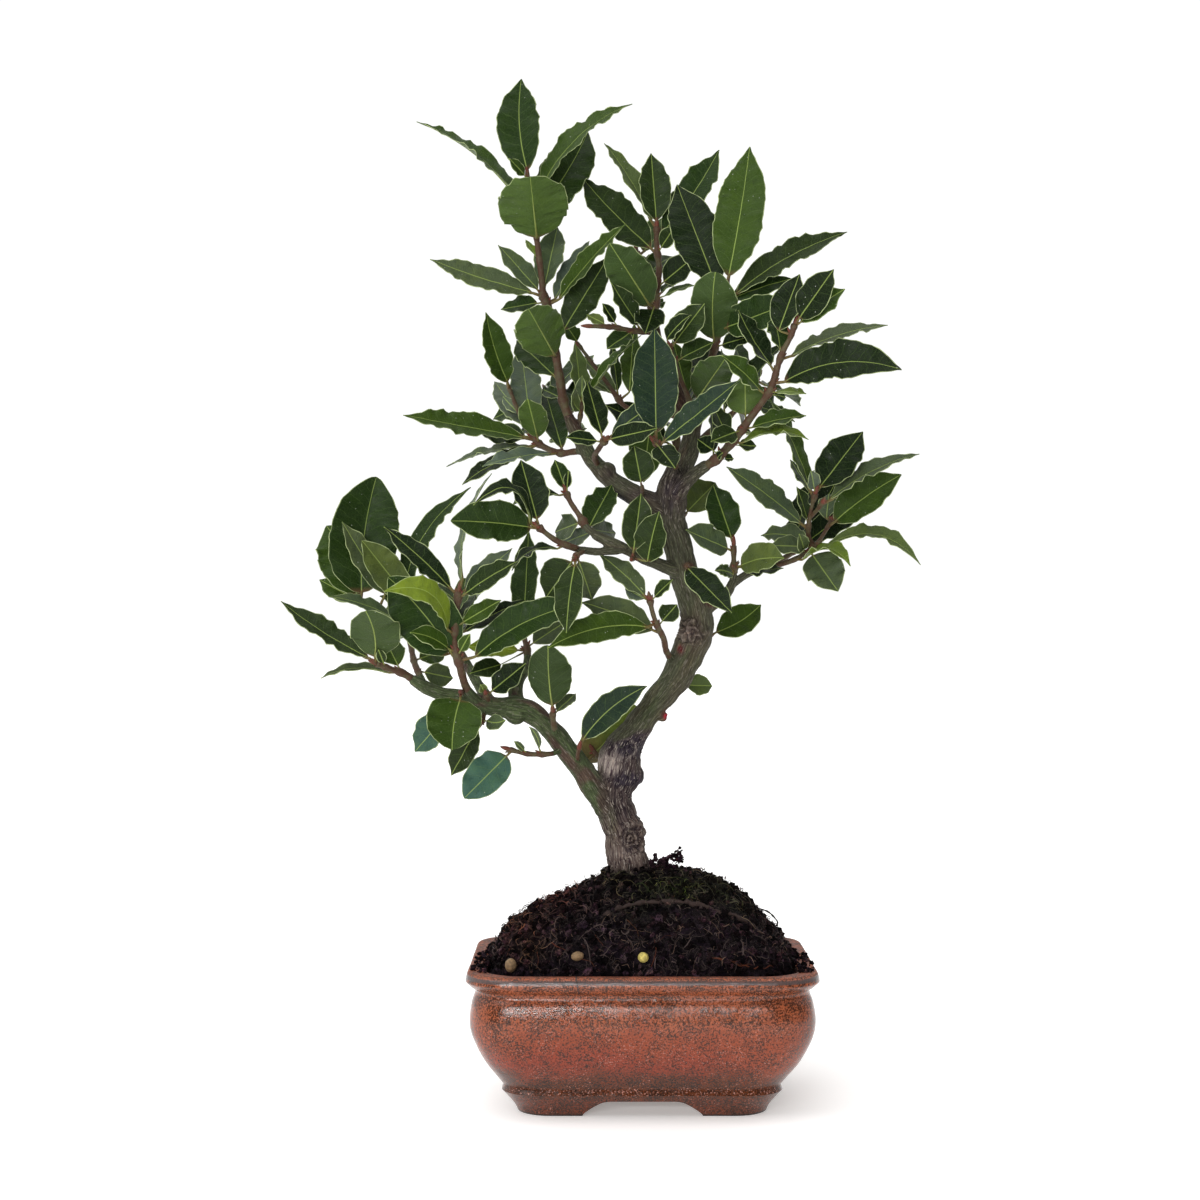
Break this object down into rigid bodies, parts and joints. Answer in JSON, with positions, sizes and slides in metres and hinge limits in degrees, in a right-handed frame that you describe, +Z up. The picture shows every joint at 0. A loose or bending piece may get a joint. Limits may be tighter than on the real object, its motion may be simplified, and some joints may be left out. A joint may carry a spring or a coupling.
{
  "type": "potted bay laurel bonsai",
  "caption": "Bay laurel bonsai with a bent forked trunk and leafy shoots, rooted in a soil mound in a rounded rectangular glazed pot on low feet.",
  "frame": {"origin": "middle of the bounding box's lowest plane, under the pot and the crown, on the surface it stands on", "axes": "+Z up along the tree's height, front of the pot and the pictured side towards -Y, +X to the viewer's right"},
  "size_m": [0.2782, 0.1674, 0.456],
  "materials": {
    "glazed_pot": "gloss",
    "peat_soil": "matte",
    "bark": "matte",
    "yellow_pellet": "matte",
    "brown_pellet": "matte",
    "drain_mesh": "matte",
    "leaf_deep": "satin",
    "leaf_dusty": "satin",
    "leaf_mid": "satin",
    "leaf_old": "satin",
    "leaf_olive": "satin",
    "leaf_pale": "satin"
  },
  "bodies": {
    "root": {"pot": "glazed_pot", "soil": "peat_soil", "trunk_and_branches": "bark", "pellet_yellow": "yellow_pellet", "pellet_brown_middle": "brown_pellet", "pellet_brown_left": "brown_pellet", "drain_screen_left": "drain_mesh", "drain_screen_right": "drain_mesh", "spray_centre_front": "leaf_old", "spray_left_leader_top": "leaf_old", "spray_left_leader_side": "leaf_deep", "spray_left_leader_short": "leaf_mid", "spray_left_leader_inner": "leaf_old", "leaf_left_leader": "leaf_dusty", "spray_centre_left": "leaf_mid", "spray_centre_top": "leaf_mid", "spray_centre_mid": "leaf_olive", "spray_right_shoot": "leaf_mid", "spray_right_leader": "leaf_deep", "spray_right_low": "leaf_deep", "spray_right_end": "leaf_mid", "spray_trunk_front": "leaf_dusty", "leaf_trunk_right": "leaf_mid", "leaf_trunk_low": "leaf_mid", "leaf_trunk_high": "leaf_mid", "spray_trunk_left": "leaf_olive", "leaf_crotch_front": "leaf_dusty", "leaf_crotch_back": "leaf_pale", "leaf_left_branch": "leaf_olive", "spray_left_branch_low": "leaf_dusty", "spray_left_knot_down": "leaf_deep", "leaf_left_front": "leaf_mid", "spray_left_knot_up": "leaf_old", "spray_left_stem": "leaf_deep", "spray_front_hanging": "leaf_dusty", "spray_front_up": "leaf_mid", "spray_front_left": "leaf_deep", "spray_front_base": "leaf_dusty", "spray_left_end": "leaf_olive", "spray_left_upright": "leaf_mid", "spray_red_shoot": "leaf_mid", "spray_back_up": "leaf_old", "spray_back_left": "leaf_deep", "spray_back_low": "leaf_mid", "spray_back_right": "leaf_deep", "spray_back_end": "leaf_old", "spray_back_top": "leaf_mid"}
  },
  "joints": []
}
